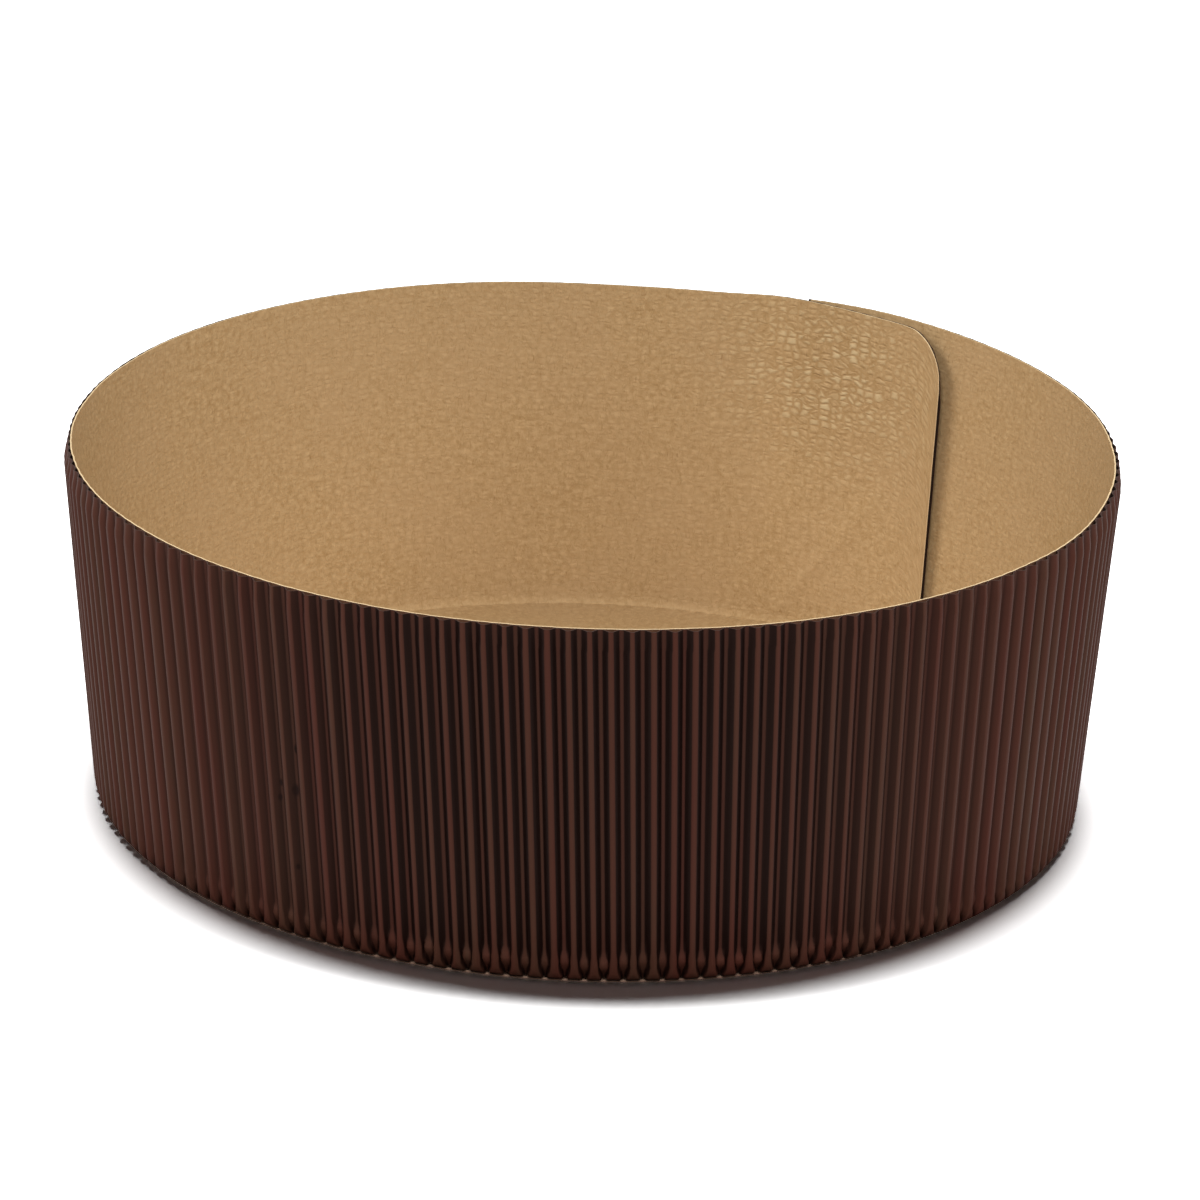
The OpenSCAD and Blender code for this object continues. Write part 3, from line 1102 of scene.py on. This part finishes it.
@dataclass
class LinerWall:
    """The kraft liner inside, drawn in between its glue lines and creased near the seam."""

    sizes: WallSizes
    steps_per_flute: int = 4
    fine_from: float = 345.0
    washboard: float = 0.08
    rib_noise: Ripple = Ripple(0.22, 0.16, 1.3)
    rib_share: float = 0.6
    flange_rib: float = 0.1
    flange_tilt: float = 0.2
    billow: float = 0.12
    billow_noise: Ripple = Ripple(0.09, 0.055, 7.7)
    billow_share: float = 0.35
    billow_from: float = 2.0
    billow_run: float = 4.0
    covered_run: float = 2.0
    creased_from: float = 300.0
    shine_from: float = 330.0
    shine_run: float = 10.0
    shine_at: tuple[float, float] = (60.0, 48.5)
    shine_size: tuple[float, float] = (8.5, 11.0)
    creases: tuple[Crease, ...] = (
        Crease((66.9, 2.2), (50.6, 31.2), 0.3, 1.0),
        Crease((60.5, 51.0), (60.4, 60.0), -0.12, 0.9),
    )
    rows: tuple[Row, ...] = (
        *(Row(Zone.BELOW_RIM, d) for d in (0, 0.5, 1.2, 2.2, 3.4)),
        *(Row(Zone.MIDDLE, step / 36) for step in range(1, 36)),
        *(Row(Zone.ABOVE_HEEL, d) for d in (2.4, 1.2, 0)),
        *(Row(Zone.HEEL, share) for share in (0.25, 0.5, 0.7, 0.85, 1)),
        *(Row(Zone.FLANGE, share) for share in (0.12, 0.4, 0.7, 1)),
    )

    @property
    def angles(self) -> list[float]:
        """Turn of each column, closer together beside the seam."""
        sizes = self.sizes
        step = sizes.flute_angle / self.steps_per_flute
        first = sizes.first_valley - step * round(sizes.first_valley / step)
        count = round((sizes.end_angle - first) / step)
        angles = []
        for i in range(count):
            a = first + i * step
            angles.append(a)
            if a > self.fine_from:
                angles.append(a + step / 2)
        angles.append(first + count * step)
        return angles

    def shine_and_painted_highlight(self, a: float, z: float) -> float:
        """Tells how shiny the liner is, and how strong the painted highlight on its cells is.

        Args:
            a: Degrees clockwise from the outer end.
            z: Height in millimetres.

        Returns:
            The shine and the painted highlight's strength, from 0 to 1.
        """
        off_direction = turn_between(self.sizes.direction(a), self.shine_at[0]) / self.shine_size[0]
        off_height = (z - self.shine_at[1]) / self.shine_size[1]
        inner = ease((a - self.shine_from) / self.shine_run)
        return inner * math.exp(-(off_direction ** 2 + off_height ** 2) / 2)

    def dent(self, a: float, spot: Place) -> float:
        """Works out how far the liner stands inwards of its glue lines.

        Args:
            a: Degrees clockwise from the outer end.
            spot: The point on the plain liner.

        Returns:
            The distance inwards in millimetres.
        """
        sizes = self.sizes
        direction = sizes.direction(a)
        phase = (a - sizes.first_valley) / sizes.flute_angle * 2 * math.pi
        off_glue = (1 - math.cos(phase)) / 2
        on_wall = ease((spot.z - self.billow_from) / self.billow_run)
        bare = 1 - ease((sizes.end_angle - 360 - a) / self.covered_run)
        broken = ease(noise.noise(self.rib_noise.at(a, spot.z)) + self.rib_share)
        ribs = self.washboard * off_glue * broken
        soft = noise.fractal(self.billow_noise.at(a, spot.z), NOISE_FALL, NOISE_STEP, 3)
        billow = self.billow * max(0.0, soft + self.billow_share)
        dent = (ribs + billow * on_wall) * bare
        if a > self.creased_from:
            dent += sum(self.crease_depth(crease, direction, spot.z) for crease in self.creases)
        if spot.normal_r < self.flange_tilt:
            dent += self.flange_rib * off_glue
        return dent

    def crease_depth(self, crease: Crease, direction: float, z: float) -> float:
        """Gives the inward distance that a crease adds.

        Args:
            crease: The crease.
            direction: Direction from the axis in degrees.
            z: Height in millimetres.

        Returns:
            The distance in millimetres.
        """
        mm_per_degree = 1 / self.sizes.degrees_per_mm
        start = Vector((crease.start[0] * mm_per_degree, crease.start[1]))
        along = Vector((crease.end[0] * mm_per_degree, crease.end[1])) - start
        off = Vector((turn_between(direction, 0) * mm_per_degree, z)) - start
        share = off.dot(along) / along.length_squared
        start_run, start_kept = crease.start_fade
        end_run, end_kept = crease.end_fade
        reach = ease(share / start_run + start_kept) * ease((1 - share) / end_run + end_kept)
        away = (off - along * share).length
        return crease.depth * reach * math.exp(-away / crease.width)

    def build(self) -> bpy.types.Object:
        """Builds the liner.

        Returns:
            The finished piece.
        """
        sizes = self.sizes
        angles = self.angles
        rim_rows = max(row.at for row in self.rows if row.zone is Zone.BELOW_RIM)
        heel_rows = max(row.at for row in self.rows if row.zone is Zone.ABOVE_HEEL)
        sections = [sizes.section(a, rim_rows, heel_rows) for a in angles]
        spots = {(c, j): section.place(row)
                 for c, section in enumerate(sections) for j, row in enumerate(self.rows)}

        def shape(column: int, row: int) -> Vector:
            """Places a point of the liner's middle surface round the mold."""
            spot = spots[column, row]
            back = sizes.liner_t / 2 + self.dent(angles[column], spot)
            return sizes.rolled(spot.r - back * spot.normal_r, spot.z - back * spot.normal_z, angles[column])

        def flat(column: int, row: int) -> tuple[float, float]:
            """Gives a point's place on the flat strip in metres."""
            return angles[column] / sizes.degrees_per_mm * MM, -spots[column, row].down * MM

        def painted_light_and_gloss(column: int, row: int) -> float:
            """Gives how shiny and embossed the liner is, and how strong its cells' painted highlight is."""
            return self.shine_and_painted_highlight(angles[column], spots[column, row].z)

        piece = rolled_sheet("kraft_liner", len(angles) - 1, len(self.rows) - 1, shape, flat, painted_light_and_gloss,
                             outwards=False)
        thicken(piece, sizes.liner_t, [LINER.material(), SHADED_LINER_BACK.material(), CUT_EDGE.material()])
        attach(piece, "root")
        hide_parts("wall_liner")
        return piece


@dataclass
class BaseDisc:
    """The kraft board disc under the foot, ringed by the marks of the crushed flutes."""

    sizes: WallSizes
    diameter: float = 159.8
    edge_r: float = 0.08
    shaded_edge_w: float = 0.9
    steps: int = 336
    rings: tuple[float, ...] = (0, 10, 20, 30, 40, 50, 58, 64, 68, 70, 71, 72, 74, 77, 79)
    ring_r: float = 71.0
    ring_run: float = 1.5
    mark_h: float = 0.03
    wave_h: float = 0.05
    wave_per_mm: float = 0.03
    wave_to: float = 55.0
    wave_run: float = 15.0
    level_edge_w: float = 0.3
    weld: float = 0.002

    def lifted(self, point: Vector) -> float:
        """Gives how far waves and the flutes' marks move a point of the board's top.

        Args:
            point: The point in metres.

        Returns:
            The distance in metres, upwards.
        """
        r = point.xy.length / MM
        direction = math.degrees(math.atan2(point.y, point.x))
        phase = (self.sizes.seam_angle - direction - self.sizes.first_valley) / self.sizes.flute_angle
        marks = self.mark_h * math.cos(phase * 2 * math.pi) * ease((r - self.ring_r) / self.ring_run)
        wave = self.wave_h * noise.fractal(point / MM * self.wave_per_mm, NOISE_FALL, NOISE_STEP, 2)
        wave *= 1 - ease((r - self.wave_to) / self.wave_run)
        return (wave - abs(marks)) * MM

    def build(self) -> bpy.types.Object:
        """Builds the disc by spinning its section round the axis.

        Returns:
            The finished piece.
        """
        radius = self.diameter / 2
        top = self.sizes.base_t
        section = [(r, 0.0) for r in self.rings] + [(radius - self.edge_r, 0.0), (radius, self.edge_r),
                                                    (radius, top - self.edge_r), (radius - self.edge_r, top)]
        section += [(r, top) for r in reversed(self.rings)]
        bm = bmesh.new()
        chain = [bm.verts.new(Vector((r, 0, z)) * MM) for r, z in section]
        edges = [bm.edges.new(pair) for pair in zip(chain, chain[1:])]
        bmesh.ops.spin(bm, geom=chain + edges, cent=(0, 0, 0), axis=(0, 0, 1), angle=2 * math.pi,
                       steps=self.steps, use_merge=True)
        bmesh.ops.remove_doubles(bm, verts=bm.verts, dist=self.weld * MM)
        bmesh.ops.recalc_face_normals(bm, faces=bm.faces)
        for vert in bm.verts:
            if vert.co.z > top / 2 * MM and vert.co.xy.length < (radius - self.level_edge_w) * MM:
                vert.co.z += self.lifted(vert.co)
        for face in bm.faces:
            face.smooth = True
            # The outer rim takes the edge colour with its painted shade
            face.material_index = int(face.calc_center_median().xy.length > (radius - self.shaded_edge_w) * MM)
        bmesh.ops.translate(bm, verts=bm.verts, vec=Vector((self.sizes.foot_shift, 0, 0)) * MM)
        mesh = bpy.data.meshes.new("kraft_disc")
        bm.to_mesh(mesh)
        bm.free()
        mesh.set_sharp_from_angle(angle=CREASE_ANGLE)
        mesh.materials.append(BOARD.material())
        mesh.materials.append(BOARD_EDGE_SHADED.material())
        piece = bpy.data.objects.new("kraft_disc", mesh)
        bpy.context.scene.collection.objects.link(piece)
        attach(piece, "root")
        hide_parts("base_disc")
        return piece


@dataclass
class Studio:
    """The pale floor, the soft lamps and the camera at the photograph's angle."""

    target: tuple[float, float, float] = (1.025, 0.0, 32.25)
    distance: float = 967.07
    elevation: float = 20.941
    roll: float = 1.9532
    lens: float = 176.67
    sensor: float = 36.0
    sky_level: float = 0.012
    suns: tuple[tuple[str, tuple[float, float, float]], ...] = (
        ("left_overhead_lamp", (-0.1, 0.083, 1.0)),
        ("right_overhead_lamp", (0.06, 0.083, 1.0)),
    )
    sun_width: float = 9.0
    sun_level: float = 0.5
    softbox_size: float = 1.0
    softbox_distance: float = 1.9
    softboxes: tuple[tuple[str, float, float, float], ...] = (
        ("left_softbox", -178.0, 39.0, 0.78),
        ("right_softbox", -5.0, 39.0, 0.62),
        ("front_softbox", -90.0, 42.0, 0.96),
    )
    floor_size: float = 6.0
    floor_bounce: str = "#dcdcdc"
    floor_seen: float = 2.3

    def build(self, pieces: Sequence[bpy.types.Object]) -> None:
        """Builds the floor, the lamps, the world and the camera.

        Args:
            pieces: The mold's pieces, which the softboxes light without lighting the floor.
        """
        floor = self.add_floor()
        mold = bpy.data.collections.new("mold_pieces")
        for piece in pieces:
            mold.objects.link(piece)
        ground = bpy.data.collections.new("ground")
        ground.objects.link(floor)
        for name, place in self.suns:
            self.add_sun(name, Vector(place)).light_linking.receiver_collection = ground
        for name, azimuth, elevation, level in self.softboxes:
            softbox = self.add_softbox(name, math.radians(azimuth), math.radians(elevation), level)
            softbox.light_linking.receiver_collection = mold
        self.add_world()
        self.add_camera()
        bpy.context.scene.view_settings.view_transform = "Standard"

    def add_floor(self) -> bpy.types.Object:
        """Adds the floor, which the camera sees white except in the object's shadow.

        Returns:
            The floor's object.
        """
        bm = bmesh.new()
        bmesh.ops.create_grid(bm, x_segments=1, y_segments=1, size=self.floor_size / 2)
        mesh = bpy.data.meshes.new("floor")
        bm.to_mesh(mesh)
        bm.free()
        floor = bpy.data.objects.new("floor", mesh)
        bpy.context.scene.collection.objects.link(floor)
        material, tree, output = fresh_material("white_floor")
        path = add(tree, "LightPath")
        colour = add(tree, "Mix", {"data_type": "RGBA", "A_Color": linear(self.floor_bounce),
                                   "B_Color": (self.floor_seen,) * 3 + (1,)},
                     {"Factor_Float": path.outputs["Is Camera Ray"]})
        matt = add(tree, "BsdfDiffuse", {}, {"Color": socket(colour.outputs, "Result_Color")})
        tree.links.new(matt.outputs["BSDF"], output.inputs["Surface"])
        mesh.materials.append(material)
        return floor

    def add_sun(self, name: str, place: Vector) -> bpy.types.Object:
        """Adds a far lamp nearly overhead that casts the mold's short, soft-edged shadow.

        Args:
            name: The lamp's name.
            place: Its place in metres, of which only the direction counts.

        Returns:
            The lamp's object.
        """
        lamp = bpy.data.lights.new(name, "SUN")
        lamp.angle = math.radians(self.sun_width)
        lamp.energy = self.sun_level * math.pi
        return self.hang(lamp, place)

    def add_softbox(self, name: str, azimuth: float, elevation: float, level: float) -> bpy.types.Object:
        """Adds a square softbox that points at the mold, and that its gloss doesn't show.

        Args:
            name: The lamp's name.
            azimuth: Its direction from the mold, in radians from +X.
            elevation: Its height above the floor, in radians.
            level: Brightness that it alone gives a white card that faces it at the origin.

        Returns:
            The lamp's object.
        """
        lamp = bpy.data.lights.new(name, "AREA")
        lamp.shape = "SQUARE"
        lamp.size = self.softbox_size
        lamp.energy = level * (math.pi * self.softbox_distance) ** 2
        out = math.cos(elevation)
        towards = Vector((out * math.cos(azimuth), out * math.sin(azimuth), math.sin(elevation)))
        holder = self.hang(lamp, towards * self.softbox_distance)
        holder.visible_glossy = False
        return holder

    def hang(self, lamp: bpy.types.Light, place: Vector) -> bpy.types.Object:
        """Places a lamp so that it points at the origin.

        Args:
            lamp: The lamp.
            place: Its place in metres.

        Returns:
            The lamp's object.
        """
        holder = bpy.data.objects.new(lamp.name, lamp)
        holder.location = place
        holder.rotation_euler = (-place).to_track_quat("-Z", "Y").to_euler()
        bpy.context.scene.collection.objects.link(holder)
        return holder

    def add_world(self) -> None:
        """Adds an even pale sky that the camera and the gloss see white."""
        world = bpy.data.worlds.new("sky")
        world.use_nodes = True
        tree = world.node_tree
        tree.nodes.clear()
        path = add(tree, "LightPath")
        seen = add(tree, "Math", {"operation": "MAXIMUM"},
                   {"Value": path.outputs["Is Camera Ray"], "Value_001": path.outputs["Is Glossy Ray"]})
        clear = add(tree, "Math", {"operation": "MAXIMUM"},
                    {"Value": seen.outputs["Value"], "Value_001": path.outputs["Is Transmission Ray"]})
        level = add(tree, "MapRange", {"To Min": self.sky_level, "To Max": 1.0},
                    {"Value": clear.outputs["Value"]})
        sky = add(tree, "Background", {"Color": (1, 1, 1, 1)}, {"Strength": level.outputs["Result"]})
        output = tree.nodes.new("ShaderNodeOutputWorld")
        tree.links.new(sky.outputs["Background"], output.inputs["Surface"])
        bpy.context.scene.world = world

    def add_camera(self) -> None:
        """Adds the camera, a long lens a little above the rim and slightly rolled."""
        lens = bpy.data.cameras.new("camera")
        lens.lens = self.lens
        lens.sensor_width = self.sensor
        camera = bpy.data.objects.new("camera", lens)
        lift = math.radians(self.elevation)
        forward = Vector((0, math.cos(lift), -math.sin(lift)))
        upright = Vector((0, math.sin(lift), math.cos(lift)))
        roll = math.radians(self.roll)
        right = Vector((1, 0, 0)) * math.cos(roll) + upright * math.sin(roll)
        up = upright * math.cos(roll) - Vector((1, 0, 0)) * math.sin(roll)
        turn = Matrix((right, up, -forward)).transposed()
        eye = (Vector(self.target) - forward * self.distance) * MM
        camera.matrix_world = Matrix.Translation(eye) @ turn.to_4x4()
        bpy.context.scene.collection.objects.link(camera)
        bpy.context.scene.camera = camera


def triangles(piece: bpy.types.Object) -> int:
    """Counts the triangles of a piece's mesh."""
    return sum(len(face.vertices) - 2 for face in piece.data.polygons)


def main() -> None:
    """Builds the mold's pieces in order, then the studio."""
    logging.basicConfig(level=logging.INFO, format="%(name)s: %(message)s")
    sizes = WallSizes()
    pieces = []
    for part in (FlutedWall(sizes), LinerWall(sizes), BaseDisc(sizes)):
        piece = part.build()
        pieces.append(piece)
        log.info("%s: %d triangles", piece.name, triangles(piece))
    Studio().build(pieces)


if __name__ == "__main__":
    main()
